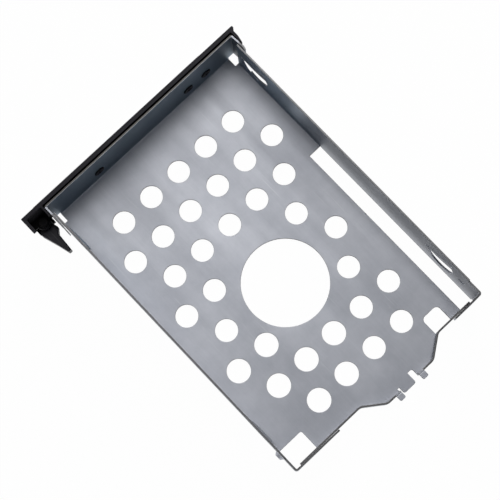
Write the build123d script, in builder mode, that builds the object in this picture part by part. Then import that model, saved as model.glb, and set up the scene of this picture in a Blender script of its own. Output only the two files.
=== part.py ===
from build123d import *
import os
from math import atan2, cos, hypot, radians, sin

os.makedirs("parts", exist_ok=True)

# The frame: X across the bay, Y from the front wall to the rear, Z up.
# X = 0 is the middle of the bay, Y = 0 the front end of the drive in it,
# just behind the flat screw heads, and Z = 0 the underside of the floor.

# Sheet steel of the tray
sheet = 0.8
bend = 0.5
bay_width = 103.2
front_inner = -0.7
bay_rear = 147.2
wall_height = 27.0
flange_height = 6.0
half_bay = bay_width / 2
wall_out = half_bay + sheet
fold_gap = 0.15

# Round holes of the floor
hole_pitch = 16.1
hole_radius = 4.95
wide_hole_radius = 5.2
hole_rows = 8
first_row = 20.9
pattern_shift = 0.4
big_hole_radius = 19.1
big_hole_y = 87.7
least_web = 1.0

# Cut-outs of the floor along the left wall and at the rear corners
slot_width = 6.4
slot_start = 55.0
left_notch_x = -34.9
left_notch_width = 9.0
left_notch_depth = 8.3
right_notch_start = 39.0
right_notch_width = 12.7
right_notch_depth = 9.5
right_notch_round = 1.0
relief_width = 1.9
relief_rear = 3.6
relief_height = 3.2

# Rear edge: a middle part that stands out, with two hooks and a tongue
nose_out = 6.9
nose_left = -21.3
nose_right = 4.9
nose_run = 9.5
nose_round = 4.0
left_flange_end = -49.4
right_flange_end = 48.8
hook_width = 2.9
hook_reach = 3.2
hook_round = 0.7
left_hook_x = -14.2
right_hook_x = -1.0
tongue_x = -6.8
tongue_width = 6.8
tongue_reach = 1.8
tongue_root = 4.0
tongue_round = 1.0
left_slit_depth = 3.5
right_slit_depth = 1.5
wrap_bottom = 1.9
wrap_low = 9.0
left_wrap_end = -40.0
right_wrap_end = 27.4
low_top_start = 141.6
low_top_step = 1.9

# Pressings in the side walls
lance_radius = 6.9
lance_slit = 0.15
lance_drop = 6.0
lance_hinge_z = 18.0
lance_turn = radians(20)
lance_relief = 0.9
lance_out = 1.8
lance_in = 1.0
lance_front_y = 13.2
lance_rear_y = 125.4
dimple_y = 139.2
dimple_z = 13.0
dimple_radius = 2.4
dimple_out = 1.4
dimple_wall = 0.6

# Ears and spring fingers at the ends of the front wall
ear_end = 5.2
ear_flare = 0.4
ear_flare_y = 6.0
ear_tip_y = 7.4
ear_cut_start = 4.0
ear_cut_height = 10.0
ear_corner = 0.6
finger_end = 14.2
finger_height = 4.5
finger_lean = 0.3
finger_thick = 0.55

# Front moulding
plate = 1.9
plate_gap = 0.7
plate_past_ear = 3.05
plate_past_pivot = 5.9
plate_bottom = 0.3
plate_top = 27.4
cheek_end = 4.3
cheek_clear = 0.35
end_cheek_end = 4.3
end_cheek_thick = 1.4
rib_gap = 0.4
rib_width = 0.7
rib_depth = 5.0

# Swing lever, its pivot and the claw
pivot_past_ear = 4.95
pivot_y = 0.9
lever_z = 9.4
pin_radius = 1.3
pin_clear = 0.05
pin_head = 0.8
pin_head_radius = 2.1
hub_radius = 2.8
hub_height = 9.6
lug = 2.4
lug_gap = 0.3
window_width = 14.6
claw_thick = 5.2
claw_tip_y = 16.8
claw_bend_y = 11.6
claw_neck_y = 7.9
claw_shoulder_y = 5.5
claw_corner_y = 4.0
claw_inner_reach = 3.3
neck_inner_reach = 1.5
tip_inner_reach = 0.9
tip_outer_reach = 0.6
neck_outer_reach = 1.9
claw_outer_reach = 4.2
claw_round = 0.45
clip_thick = 0.5
clip_width = 0.9
groove_depth = 0.35

# Handle in front of the plate
handle_gap = 0.3
handle_height = 11.6
handle_depth = 3.1
handle_inset = 0.6
skin = 1.35
arm_thick = 1.65
fit = 0.15
grip_count = 5
grip_pitch = 2.4
grip_groove = 1.0
grip_edge = 2.2
cover_screw_from_left = 16.3
cover_screw_from_pivot = 21.9
cover_screw_radius = 0.8
cover_screw_head = 1.6
thread_clear = 0.05

# Release button at the left end
button_travel = 2.2
button_inset = 5.0
button_width = 7.6
button_height = 8.8
pad_height = 6.0
pad_inset = 1.2
pad_groove = 0.6
pad_groove_pitch = 1.5
catch_reach = 2.4
catch_height = 4.0
catch_thick = 1.0
catch_gap = 0.2
lip_gap = 0.8
lip_show = 2.3
lip_thick = 1.2
housing_wall = 2.0
housing_skin = 1.2
housing_depth = 2.8
housing_rim = 1.5
slide_gap = 0.3
end_gap = 0.2
spring_room = 4.6
spring_radius = 1.0
spring_wire = 0.3
spring_turns = 7

# Screws that hold the moulding to the front wall
screw_spots = (-36.6, -26.3, 25.6)
screw_z = 10.7
screw_radius = 1.4
screw_hole_radius = 1.6
screw_head_radius = 2.5
screw_head = 0.6
boss_radius = 2.8
screw_tip_cover = 0.5

# Places worked out from the sizes above
front_face = front_inner - sheet
plate_back = front_face - plate_gap
plate_front = plate_back - plate
handle_back = plate_front - handle_gap
handle_front = handle_back - handle_depth
arm_front = handle_back - arm_thick
arm_height = handle_height - 2 * skin - 2 * fit
arm_bottom = lever_z - arm_height / 2
hub_bottom = lever_z - hub_height / 2
hub_top = hub_bottom + hub_height
lug_top_z = hub_top + lug_gap
lug_bottom_z = hub_bottom - lug_gap - lug
flange_middle = bay_rear + sheet / 2
wrap_middle = bay_rear + 1.5 * sheet + fold_gap
wrap_top = wall_height - low_top_step
rear_edge = flange_middle + nose_out
ear_middle = wall_out + fold_gap + sheet / 2
ear_outer = ear_middle + sheet / 2
plate_left = -ear_middle - plate_past_ear
pivot_x = ear_middle + pivot_past_ear
plate_right = pivot_x + plate_past_pivot
cheek_inner = plate_right - end_cheek_thick
button_left = plate_left + button_inset
button_right = button_left + button_width
pad_left = button_left + pad_inset
lip_left = button_right + lip_gap
handle_left = lip_left + lip_show
handle_right = pivot_x - handle_inset
arm_left = handle_left + skin + fit
cover_screw_left = handle_left + cover_screw_from_left
cover_screw_right = pivot_x - cover_screw_from_pivot


def on_y(y):
    """Plane across the tray at depth y; local x is X and local y is Z."""
    return Plane.XZ.offset(-y)


def holes_of_floor():
    """Centres and radii of the round holes, clear of the larger cut-outs."""
    spots = []
    slot_edge = -half_bay + slot_width
    notch_front = bay_rear - right_notch_depth
    for row in range(hole_rows):
        y = first_row + row * hole_pitch
        staggered = row % 2
        count = 6 if staggered else 5
        for step in range(count):
            place = step - (count - 1) / 2
            x = pattern_shift + place * hole_pitch
            reach = hypot(x - pattern_shift, y - big_hole_y)
            if reach < big_hole_radius + hole_radius + least_web:
                continue
            if y > slot_start - hole_radius and x - hole_radius < slot_edge + least_web:
                continue
            if y + hole_radius > notch_front and x + hole_radius > right_notch_start:
                continue
            wide = row >= 5 and place >= 0
            spots.append((x, y, wide_hole_radius if wide else hole_radius))
    return spots


# Tray: one piece of folded sheet steel
with BuildPart() as tray:
    # Floor with both side walls
    with BuildSketch(on_y(front_inner + fold_gap)) as channel:
        Rectangle(2 * wall_out, wall_height, align=(Align.CENTER, Align.MIN))
        fillet(channel.vertices().group_by(Axis.Y)[0], bend + sheet)
        with Locations((0, sheet)):
            Rectangle(2 * half_bay, wall_height, align=(Align.CENTER, Align.MIN), mode=Mode.SUBTRACT)
        inner_corners = channel.vertices().filter_by_position(Axis.Y, sheet - 0.01, sheet + 0.01)
        fillet(inner_corners, bend)
    extrude(amount=-(bay_rear - front_inner - fold_gap))

    # Rear edge of the floor with its upturned flange
    with BuildLine() as rear_line:
        FilletPolyline(
            (left_flange_end, flange_middle),
            (nose_left - nose_run, flange_middle),
            (nose_left, flange_middle + nose_out),
            (nose_right, flange_middle + nose_out),
            (nose_right + nose_run, flange_middle),
            (right_flange_end, flange_middle),
            radius=nose_round,
        )
    with BuildSketch() as rear_floor:
        with BuildLine():
            add(rear_line.line)
            Polyline(
                (right_flange_end, flange_middle),
                (right_flange_end, bay_rear - 2),
                (left_flange_end, bay_rear - 2),
                (left_flange_end, flange_middle),
            )
        make_face()
    extrude(amount=sheet)
    with BuildSketch() as rear_flange:
        trace(rear_line.line, line_width=sheet)
    extrude(amount=flange_height)
    outer_bend = (
        tray.edges()
        .filter_by_position(Axis.Z, -0.01, 0.01)
        .filter_by_position(Axis.Y, flange_middle + sheet / 2 - 0.05, flange_middle + nose_out + sheet)
        .filter_by(lambda e: e.length > 1.0)
    )
    fillet(outer_bend, sheet - 0.1)

    # Side walls wrap round the rear corners, outside the flange, and slope down to their ends
    with BuildSketch(Plane.XY.offset(wrap_bottom)) as wraps:
        for side, end in ((-1, left_wrap_end), (1, right_wrap_end)):
            with BuildLine() as wrap_line:
                FilletPolyline(
                    (side * (wall_out - sheet / 2), bay_rear - 4),
                    (side * (wall_out - sheet / 2), wrap_middle),
                    (end, wrap_middle),
                    radius=bend + sheet / 2,
                )
            trace(wrap_line.line, line_width=sheet)
    extrude(amount=wrap_top - wrap_bottom)
    with BuildSketch(on_y(bay_rear + sheet)) as above_wraps:
        for corner_x, end in ((-half_bay, left_wrap_end), (half_bay, right_wrap_end)):
            with BuildLine():
                Polyline((corner_x, wrap_top), (end, wrap_low), (end, wall_height), (corner_x, wall_height),
                         close=True)
            make_face()
    extrude(amount=-2 * sheet, mode=Mode.SUBTRACT)

    # Front wall: bottom bend, then the wall with both ears
    with BuildSketch(Plane.YZ.offset(-half_bay + relief_width)) as front_bend:
        with Locations((front_face, 0)):
            Rectangle(relief_rear - front_face, relief_height + 1, align=(Align.MIN, Align.MIN))
        with Locations((front_inner, sheet)):
            Rectangle(2 * relief_rear, relief_height + 1, align=(Align.MIN, Align.MIN), mode=Mode.SUBTRACT)
        lowest = front_bend.vertices().group_by(Axis.Y)[0]
        fillet(lowest.sort_by(Axis.X)[0], bend + sheet)
        inside = front_bend.vertices().filter_by_position(Axis.Y, sheet - 0.01, sheet + 0.01)
        fillet(inside.sort_by(Axis.X)[0], bend)
    extrude(amount=2 * (half_bay - relief_width))
    with BuildSketch(Plane.XY.offset(relief_height)) as front_wall:
        with BuildLine() as front_line:
            FilletPolyline(
                (-ear_middle, ear_tip_y),
                (-ear_middle - ear_flare, ear_flare_y),
                (-ear_middle, front_inner - sheet / 2),
                (ear_middle, front_inner - sheet / 2),
                (ear_middle, ear_end),
                radius=ear_corner,
            )
        trace(front_line.line, line_width=sheet)
    extrude(amount=wall_height - relief_height)

    # The tip of the left ear stands above a cut-out; a spring finger runs on from the right ear's top
    with Locations((-ear_middle - ear_flare, ear_cut_start, relief_height)):
        Box(4 * sheet, ear_tip_y, ear_cut_height, align=(Align.CENTER, Align.MIN, Align.MIN),
            mode=Mode.SUBTRACT)
    with BuildSketch(Plane.XY.offset(wall_height - finger_height)) as finger:
        with BuildLine() as finger_line:
            Line((ear_middle, ear_end - 1), (ear_middle + finger_lean, finger_end))
        trace(finger_line.line, line_width=finger_thick)
    extrude(amount=finger_height)

    # Corner reliefs up to the start of the walls, the long slot and the two rear notches
    with BuildSketch() as floor_cuts:
        for side in (-1, 1):
            with Locations((side * half_bay, front_inner)):
                Rectangle(2 * relief_width, relief_rear - front_inner, align=(Align.CENTER, Align.MIN))
        with Locations((-half_bay, slot_start)):
            Rectangle(slot_width, bay_rear - slot_start, align=(Align.MIN, Align.MIN))
        with Locations((left_notch_x, bay_rear - left_notch_depth / 2)):
            RectangleRounded(left_notch_width, left_notch_depth, 2)
        with Locations((left_notch_x, bay_rear)):
            Rectangle(left_notch_width, left_notch_depth / 2, align=(Align.CENTER, Align.MAX))
        with Locations((right_notch_start, bay_rear)):
            Rectangle(right_notch_width, right_notch_depth, align=(Align.MIN, Align.MAX))
        notch_front = floor_cuts.vertices().filter_by_position(
            Axis.Y, bay_rear - right_notch_depth - 0.01, bay_rear - right_notch_depth + 0.01
        )
        fillet(notch_front.sort_by(Axis.X)[0], right_notch_round)
    extrude(amount=bend + sheet, mode=Mode.SUBTRACT)
    for side in (-1, 1):
        with Locations((side * (half_bay + sheet / 2), front_inner + fold_gap / 2, relief_height)):
            Box(sheet + fold_gap, relief_rear - front_inner - fold_gap / 2, wall_height,
                align=(Align.CENTER, Align.MIN, Align.MIN), mode=Mode.SUBTRACT)
        with Locations((side * (wall_out + fold_gap), front_inner, 0)):
            Box(2 * relief_width, relief_rear - front_inner, relief_height,
                align=(Align.CENTER, Align.MIN, Align.MIN), mode=Mode.SUBTRACT)

    # Round holes and the large one
    with BuildSketch() as round_holes:
        for x, y, radius in holes_of_floor():
            with Locations((x, y)):
                Circle(radius)
        with Locations((pattern_shift, big_hole_y)):
            Circle(big_hole_radius)
    extrude(amount=sheet, mode=Mode.SUBTRACT)

    # Gap in the flange between the hooks, and the flat tongue between two slits
    gap_left = left_hook_x + hook_width / 2
    gap_right = right_hook_x - hook_width / 2
    with BuildSketch() as hook_gap:
        with Locations((gap_left, rear_edge - right_slit_depth)):
            Rectangle(gap_right - gap_left, 2 * nose_out, align=(Align.MIN, Align.MIN))
        with Locations((gap_left, rear_edge - left_slit_depth)):
            Rectangle(tongue_x - gap_left, 2 * nose_out, align=(Align.MIN, Align.MIN))
        fillet(hook_gap.vertices().group_by(Axis.Y)[0].sort_by(Axis.X)[0], tongue_round)
    extrude(amount=flange_height, mode=Mode.SUBTRACT)
    with BuildSketch() as tongue:
        with Locations((tongue_x, rear_edge - tongue_root)):
            Rectangle(tongue_width, tongue_root + tongue_reach, align=(Align.CENTER, Align.MIN))
        fillet(tongue.vertices().group_by(Axis.Y)[-1], tongue_round)
    extrude(amount=sheet)

    # Two hooks: the top of the flange is bent to the rear
    for hook_x in (left_hook_x, right_hook_x):
        with BuildSketch(Plane.YZ.offset(hook_x - hook_width / 2)) as hook:
            with BuildLine() as hook_line:
                FilletPolyline(
                    (rear_edge, flange_height - 3),
                    (rear_edge, flange_height - sheet / 2),
                    (rear_edge + hook_reach, flange_height - sheet / 2),
                    radius=bend + sheet / 2,
                )
            trace(hook_line.line, line_width=sheet)
        extrude(amount=hook_width)
    fillet(tray.edges().filter_by(Axis.Z).group_by(Axis.Y)[-1], hook_round)

    # The wall tops step down near the rear
    with Locations((0, low_top_start, wall_height - low_top_step)):
        Box(2 * wall_out + 2, bay_rear, low_top_step + 1, align=(Align.CENTER, Align.MIN, Align.MIN),
            mode=Mode.SUBTRACT)

    # Lanced tongues: both walls' tongues lean to the left, and their hinges rise to the rear
    hinge_run = (0, cos(lance_turn), sin(lance_turn))
    for face_x, wall_middle, lean in (
        (-half_bay, -half_bay - sheet / 2, lance_out),
        (wall_out, half_bay + sheet / 2, lance_in),
    ):
        tilt = atan2(lean, lance_drop + lance_radius)
        for lance_y in (lance_front_y, lance_rear_y):
            cut_plane = Plane(
                origin=(wall_middle - sheet, lance_y, lance_hinge_z),
                x_dir=hinge_run,
                z_dir=(1, 0, 0),
            )
            with BuildSketch(cut_plane) as lance_cut:
                with Locations((0, -lance_drop)):
                    Circle(lance_radius)
                Rectangle(2 * lance_radius, lance_drop, align=(Align.CENTER, Align.MAX))
                Rectangle(3 * lance_radius, 2 * lance_radius, align=(Align.CENTER, Align.MIN),
                          mode=Mode.SUBTRACT)
            extrude(amount=2 * sheet, mode=Mode.SUBTRACT)
            leaf_plane = Plane(
                origin=(face_x, lance_y, lance_hinge_z),
                x_dir=hinge_run,
                z_dir=(-cos(tilt), -sin(tilt) * sin(lance_turn), sin(tilt) * cos(lance_turn)),
            )
            with BuildSketch(leaf_plane) as leaf:
                with Locations((0, lance_drop)):
                    Circle(lance_radius - lance_slit)
                Rectangle(2 * (lance_radius - lance_slit), lance_drop, align=(Align.CENTER, Align.MIN))
                Rectangle(3 * lance_radius, 2 * lance_radius, align=(Align.CENTER, Align.MAX),
                          mode=Mode.SUBTRACT)
                Rectangle(2 * (lance_radius - lance_slit), sheet, align=(Align.CENTER, Align.MAX))
            extrude(amount=sheet)
            with BuildSketch(cut_plane) as slit_ends:
                with Locations((-lance_radius, 0), (lance_radius, 0)):
                    Circle(lance_relief)
            extrude(amount=2 * sheet, mode=Mode.SUBTRACT)

    # A pressed dimple near the rear of each wall
    for side in (-1, 1):
        dimple_plane = Plane(
            origin=(side * half_bay, dimple_y, dimple_z),
            x_dir=(0, 1, 0),
            z_dir=(side, 0, 0),
        )
        with Locations(dimple_plane.offset(sheet)):
            Cone(dimple_radius, dimple_radius - 1, dimple_out, align=(Align.CENTER, Align.CENTER, Align.MIN))
        with Locations(dimple_plane):
            Cone(dimple_radius - dimple_wall, dimple_radius - dimple_wall - 1, dimple_out,
                 align=(Align.CENTER, Align.CENTER, Align.MIN), mode=Mode.SUBTRACT)

    # Clearance holes for the screws of the moulding
    with BuildSketch(on_y(front_inner + 1)) as screw_holes:
        for x in screw_spots:
            with Locations((x, screw_z)):
                Circle(screw_hole_radius)
    extrude(amount=2 + sheet, mode=Mode.SUBTRACT)

tray.part.label = "tray"
export_step(tray.part, "parts/tray.step")


# Bezel: fixed front moulding with the lever's pivot pocket and the button's housing
with BuildPart() as bezel:
    with BuildSketch(Plane.XY.offset(plate_bottom)) as outline:
        with BuildLine():
            Polyline(
                (plate_left, plate_front),
                (plate_right, plate_front),
                (plate_right, end_cheek_end),
                (cheek_inner, end_cheek_end),
                (cheek_inner, plate_back),
                (-ear_outer - cheek_clear, plate_back),
                (-ear_outer - cheek_clear - ear_flare * 0.75, cheek_end),
                (-ear_outer - cheek_clear - ear_flare * 0.75 - 0.3, cheek_end),
                (plate_left + 1.0, pivot_y),
                (plate_left + 1.0, plate_back),
                (plate_left, plate_front + 1.1),
                close=True,
            )
        make_face()
    extrude(amount=plate_top - plate_bottom)
    front_edges = bezel.faces().sort_by(Axis.Y)[0].edges()
    fillet(front_edges, 0.5)

    # The cheek at the pivot's end narrows downwards
    with BuildSketch(Plane.YZ.offset(cheek_inner)) as below_cheek:
        with BuildLine():
            Polyline(
                (plate_back, plate_bottom),
                (end_cheek_end, plate_top),
                (end_cheek_end + 1, plate_top),
                (end_cheek_end + 1, plate_bottom),
                close=True,
            )
        make_face()
    extrude(amount=2 * end_cheek_thick, mode=Mode.SUBTRACT)

    # Rib between the pivot pocket and the tray's ear, narrowing downwards too
    with BuildSketch(Plane.YZ.offset(ear_outer + rib_gap)) as rib:
        with BuildLine():
            Polyline(
                (plate_back, plate_bottom),
                (plate_back + rib_depth, plate_top),
                (plate_back, plate_top),
                close=True,
            )
        make_face()
    extrude(amount=rib_width)

    # Housing of the release button
    cavity_left = button_left - button_travel - end_gap
    housing_left = cavity_left - housing_wall
    with BuildSketch(on_y(plate_back - plate / 2)) as housing:
        with Locations(((housing_left + button_right) / 2, lever_z)):
            RectangleRounded(
                button_right - housing_left,
                button_height + 2 * slide_gap + 2 * housing_rim,
                housing_skin,
            )
    extrude(amount=plate / 2 + housing_depth)
    fillet(bezel.faces().sort_by(Axis.Y)[0].edges(), 0.5)
    with BuildSketch(on_y(front_face)) as cavity:
        with Locations((cavity_left, lever_z)):
            Rectangle(lip_left + end_gap - cavity_left, button_height + 2 * slide_gap,
                      align=(Align.MIN, Align.CENTER))
    extrude(amount=plate_gap + plate + housing_depth - housing_skin, mode=Mode.SUBTRACT)
    with BuildSketch(on_y(plate_front)) as pad_window:
        with Locations((pad_left - button_travel - end_gap, lever_z)):
            Rectangle(handle_left - pad_left + button_travel, pad_height + fit * 2,
                      align=(Align.MIN, Align.CENTER))
    extrude(amount=2 * housing_depth, mode=Mode.SUBTRACT)

    # Window where the lever's arm passes through the plate
    with BuildSketch(on_y(front_inner)) as arm_window:
        with Locations((pivot_x + hub_radius, lever_z)):
            Rectangle(window_width, hub_height + 2 * lug_gap, align=(Align.MAX, Align.CENTER))
    extrude(amount=-plate_front + 1, mode=Mode.SUBTRACT)

    # Lugs above and below the lever's hub, bored for the pin
    for lug_z in (lug_bottom_z, lug_top_z):
        with BuildSketch(Plane.XY.offset(lug_z)) as lug_shape:
            with Locations((pivot_x, pivot_y)):
                Circle(hub_radius + 0.2)
            with Locations((cheek_inner, plate_back)):
                Rectangle(cheek_inner - ear_outer - rib_gap, pivot_y - plate_back,
                          align=(Align.MAX, Align.MIN))
            with Locations((pivot_x, pivot_y)):
                Circle(pin_radius, mode=Mode.SUBTRACT)
        extrude(amount=lug)

    # Bosses that meet the front wall, with blind holes for the screws
    with BuildSketch(on_y(plate_back)) as bosses:
        for x in screw_spots:
            with Locations((x, screw_z)):
                Circle(boss_radius)
    extrude(amount=-plate_gap)
    with BuildSketch(on_y(front_face)) as blind_holes:
        for x in screw_spots:
            with Locations((x, screw_z)):
                Circle(screw_radius)
    extrude(amount=plate_gap + plate - screw_tip_cover, mode=Mode.SUBTRACT)

bezel.part.label = "bezel"
export_step(bezel.part, "parts/bezel.step")


# Lever: arm, hub and claw in one moulding
claw_inner = pivot_x - claw_inner_reach
neck_inner = pivot_x - neck_inner_reach
tip_inner = pivot_x - tip_inner_reach
tip_outer = pivot_x + tip_outer_reach
neck_outer = pivot_x + neck_outer_reach
claw_outer = pivot_x + claw_outer_reach
with BuildPart() as lever:
    with BuildSketch(Plane.XY.offset(arm_bottom)) as arm:
        with BuildLine():
            Polyline(
                (arm_left, arm_front),
                (pivot_x + handle_inset, arm_front),
                (pivot_x + handle_inset, pivot_y),
                (pivot_x - hub_radius, pivot_y),
                (pivot_x - hub_radius - 0.4, plate_back + 0.2),
                (pivot_x - hub_radius - 5.1, handle_back),
                (arm_left, handle_back),
                close=True,
            )
        make_face()
    extrude(amount=arm_height)
    with BuildSketch(Plane.XY.offset(hub_bottom)) as hub:
        with Locations((pivot_x, pivot_y)):
            Circle(hub_radius)
    extrude(amount=hub_height)

    # Claw: level with the top of the hub, below the upper lug
    with BuildSketch(Plane.XY.offset(hub_top - claw_thick)) as claw:
        with BuildLine():
            Polyline(
                (pivot_x - 1.0, pivot_y),
                (pivot_x - hub_radius + 0.1, pivot_y + 2.4),
                (claw_inner, claw_shoulder_y),
                (neck_inner, claw_neck_y),
                (tip_inner, claw_tip_y),
                (tip_outer, claw_tip_y),
                (neck_outer, claw_bend_y),
                (claw_outer, claw_corner_y),
                (claw_outer, claw_corner_y - 1.0),
                (pivot_x + hub_radius - 0.1, pivot_y + 0.6),
                (pivot_x + 1.0, pivot_y),
                close=True,
            )
        make_face()
        rear_corners = claw.vertices().group_by(Axis.Y)[-1]
        fillet(rear_corners, claw_round)
    extrude(amount=claw_thick)
    top_edges = lever.faces().sort_by(Axis.Z)[-1].edges().filter_by(GeomType.LINE)
    chamfer(top_edges.filter_by(lambda e: e.center().Y > claw_shoulder_y), 0.3)

    # Lip at the far end of the arm, held by the release button
    with Locations((lip_left, handle_back, lever_z)):
        Box(arm_left - lip_left + 1, lip_thick, catch_height, align=(Align.MIN, Align.MAX, Align.CENTER))

    # Bore for the pin and countersunk holes for the cover's screws
    with Locations((pivot_x, pivot_y, hub_bottom)):
        Cylinder(pin_radius + pin_clear, hub_height, align=(Align.CENTER, Align.CENTER, Align.MIN),
                 mode=Mode.SUBTRACT)
    for x in (cover_screw_left, cover_screw_right):
        with Locations(on_y(handle_back).location * Pos(x, lever_z, 0) * Rot(0, 180, 0)):
            CounterSinkHole(cover_screw_radius + thread_clear, cover_screw_head, depth=arm_thick)

lever.part.label = "lever"
export_step(lever.part, "parts/lever.step")


# Handle cover: finished shell over the arm, with grip ribs at its free end
with BuildPart() as cover:
    with BuildSketch(on_y(handle_back)) as cover_face:
        with Locations((handle_left, lever_z)):
            Rectangle(handle_right - handle_left, handle_height, align=(Align.MIN, Align.CENTER))
        fillet(cover_face.vertices().group_by(Axis.X)[0], 2.0)
    extrude(amount=handle_depth)
    fillet(cover.faces().sort_by(Axis.Y)[0].edges(), 1.0)
    with BuildSketch(on_y(handle_back)) as arm_room:
        with Locations((arm_left - fit, lever_z)):
            Rectangle(handle_right - arm_left + 1, arm_height + 2 * fit, align=(Align.MIN, Align.CENTER))
    extrude(amount=arm_thick + fit, mode=Mode.SUBTRACT)
    with Locations((handle_left - 1, handle_back, lever_z)):
        Box(skin + 2, lip_thick + fit, catch_height + 2 * fit, align=(Align.MIN, Align.MAX, Align.CENTER),
            mode=Mode.SUBTRACT)
    for step in range(grip_count):
        groove_x = handle_left + (step + 1.7) * grip_pitch
        with Locations((groove_x, handle_front, lever_z)):
            Box(grip_groove, grip_groove, handle_height - 2 * grip_edge, mode=Mode.SUBTRACT)
    for x in (cover_screw_left, cover_screw_right):
        with BuildSketch(on_y(arm_front)) as thread_hole:
            with Locations((x, lever_z)):
                Circle(cover_screw_radius)
        extrude(amount=fit + skin * 0.6, mode=Mode.SUBTRACT)

cover.part.label = "handle_cover"
export_step(cover.part, "parts/handle_cover.step")


# Countersunk screws that hold the cover on the arm
for name, x in (("cover_screw_1", cover_screw_left), ("cover_screw_2", cover_screw_right)):
    with BuildPart() as cover_screw:
        with BuildSketch(Plane.YZ.offset(x)) as half_screw:
            head_drop = cover_screw_head - cover_screw_radius
            with BuildLine():
                Polyline(
                    (handle_back, lever_z),
                    (handle_back, lever_z + cover_screw_head - thread_clear),
                    (handle_back - head_drop, lever_z + cover_screw_radius - thread_clear),
                    (arm_front - skin * 0.6, lever_z + cover_screw_radius - thread_clear),
                    (arm_front - skin * 0.6, lever_z),
                    close=True,
                )
            make_face()
        screw_axis = Axis((x, 0, lever_z), (0, 1, 0))
        revolve(axis=screw_axis)
        for turn in (0, 90):
            with Locations(Location((x, handle_back, lever_z), (0, turn, 0))):
                Box(cover_screw_head, cover_screw_radius, cover_screw_head / 4, mode=Mode.SUBTRACT)
    cover_screw.part.label = name
    export_step(cover_screw.part, f"parts/{name}.step")


# Pivot pin with a low head, grooved for the clip below the lower lug
clip_z = lug_bottom_z - 2 * pin_clear - clip_thick
pin_end = clip_z - clip_thick
pin_top = lug_top_z + lug
with BuildPart() as pin:
    with Locations((pivot_x, pivot_y, pin_end)):
        Cylinder(pin_radius, pin_top - pin_end, align=(Align.CENTER, Align.CENTER, Align.MIN))
    with Locations((pivot_x, pivot_y, pin_top)):
        Cylinder(pin_head_radius, pin_head, align=(Align.CENTER, Align.CENTER, Align.MIN))
    fillet(pin.edges().sort_by(Axis.Z)[-1], 0.3)
    chamfer(pin.edges().sort_by(Axis.Z)[0], 0.2)
    with BuildSketch(Plane.XY.offset(clip_z)) as groove:
        with Locations((pivot_x, pivot_y)):
            Circle(pin_radius + 1)
            Circle(pin_radius - groove_depth, mode=Mode.SUBTRACT)
    extrude(amount=clip_thick, mode=Mode.SUBTRACT)

pin.part.label = "pivot_pin"
export_step(pin.part, "parts/pivot_pin.step")


# Retaining clip in the pin's groove
with BuildPart() as clip:
    with BuildSketch(Plane.XY.offset(clip_z + 0.02)) as ring:
        with Locations((pivot_x, pivot_y)):
            Circle(pin_radius + clip_width)
            Circle(pin_radius - groove_depth + 0.02, mode=Mode.SUBTRACT)
            Rectangle(2 * (pin_radius - groove_depth), 2 * pin_head_radius, align=(Align.CENTER, Align.MAX),
                      mode=Mode.SUBTRACT)
    extrude(amount=clip_thick - 0.04)

clip.part.label = "pivot_clip"
export_step(clip.part, "parts/pivot_clip.step")


# Release button: body, ribbed pad and the catch that holds the lever's lip
with BuildPart() as button:
    body_front = plate_front - housing_depth + housing_skin + end_gap
    body_back = front_face - slide_gap
    body_middle = (body_front + body_back) / 2
    with BuildSketch(on_y(body_back)) as body:
        with Locations((button_left, lever_z)):
            Rectangle(button_width, button_height, align=(Align.MIN, Align.CENTER))
    extrude(amount=body_back - body_front)
    with BuildSketch(on_y(body_front)) as pad:
        with Locations((pad_left, lever_z)):
            Rectangle(button_right - pad_left, pad_height, align=(Align.MIN, Align.CENTER))
    extrude(amount=body_front - handle_front)
    fillet(button.faces().sort_by(Axis.Y)[0].edges(), 0.4)
    for step in range(3):
        with Locations((pad_left + 1.4 + step * pad_groove_pitch, handle_front, lever_z)):
            Box(pad_groove, pad_groove, pad_height - 1.6, mode=Mode.SUBTRACT)

    # Catch, with a sloping front that the lip pushes aside on closing
    catch_back = handle_back - lip_thick - catch_gap
    with BuildSketch(Plane.XY.offset(lever_z - catch_height / 2)) as catch:
        with BuildLine():
            Polyline(
                (button_right - 1, catch_back),
                (button_right + catch_reach, catch_back),
                (button_right + catch_reach, catch_back - 0.3),
                (button_right + 0.6, catch_back - catch_thick),
                (button_right - 1, catch_back - catch_thick),
                close=True,
            )
        make_face()
    extrude(amount=catch_height)

    # Pocket for the spring, from the left
    with Locations(Location((button_left, body_middle, lever_z), (0, 90, 0))):
        Cylinder(spring_radius + spring_wire + end_gap, spring_room,
                 align=(Align.CENTER, Align.CENTER, Align.MIN), mode=Mode.SUBTRACT)

button.part.label = "release_button"
export_step(button.part, "parts/release_button.step")


# Spring behind the button, from the housing's wall to the end of the pocket
spring_start = cavity_left + spring_wire + 0.05
spring_end = button_left + spring_room - spring_wire - 0.05
spring_length = spring_end - spring_start
with BuildPart() as spring:
    with BuildLine() as coil:
        Helix(
            pitch=spring_length / spring_turns,
            height=spring_length,
            radius=spring_radius,
            center=(spring_start, body_middle, lever_z),
            direction=(1, 0, 0),
        )
    with BuildSketch(Plane(origin=coil.line @ 0, z_dir=coil.line % 0)) as wire:
        Circle(spring_wire)
    sweep(is_frenet=True)

spring.part.label = "release_spring"
export_step(spring.part, "parts/release_spring.step")


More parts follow.
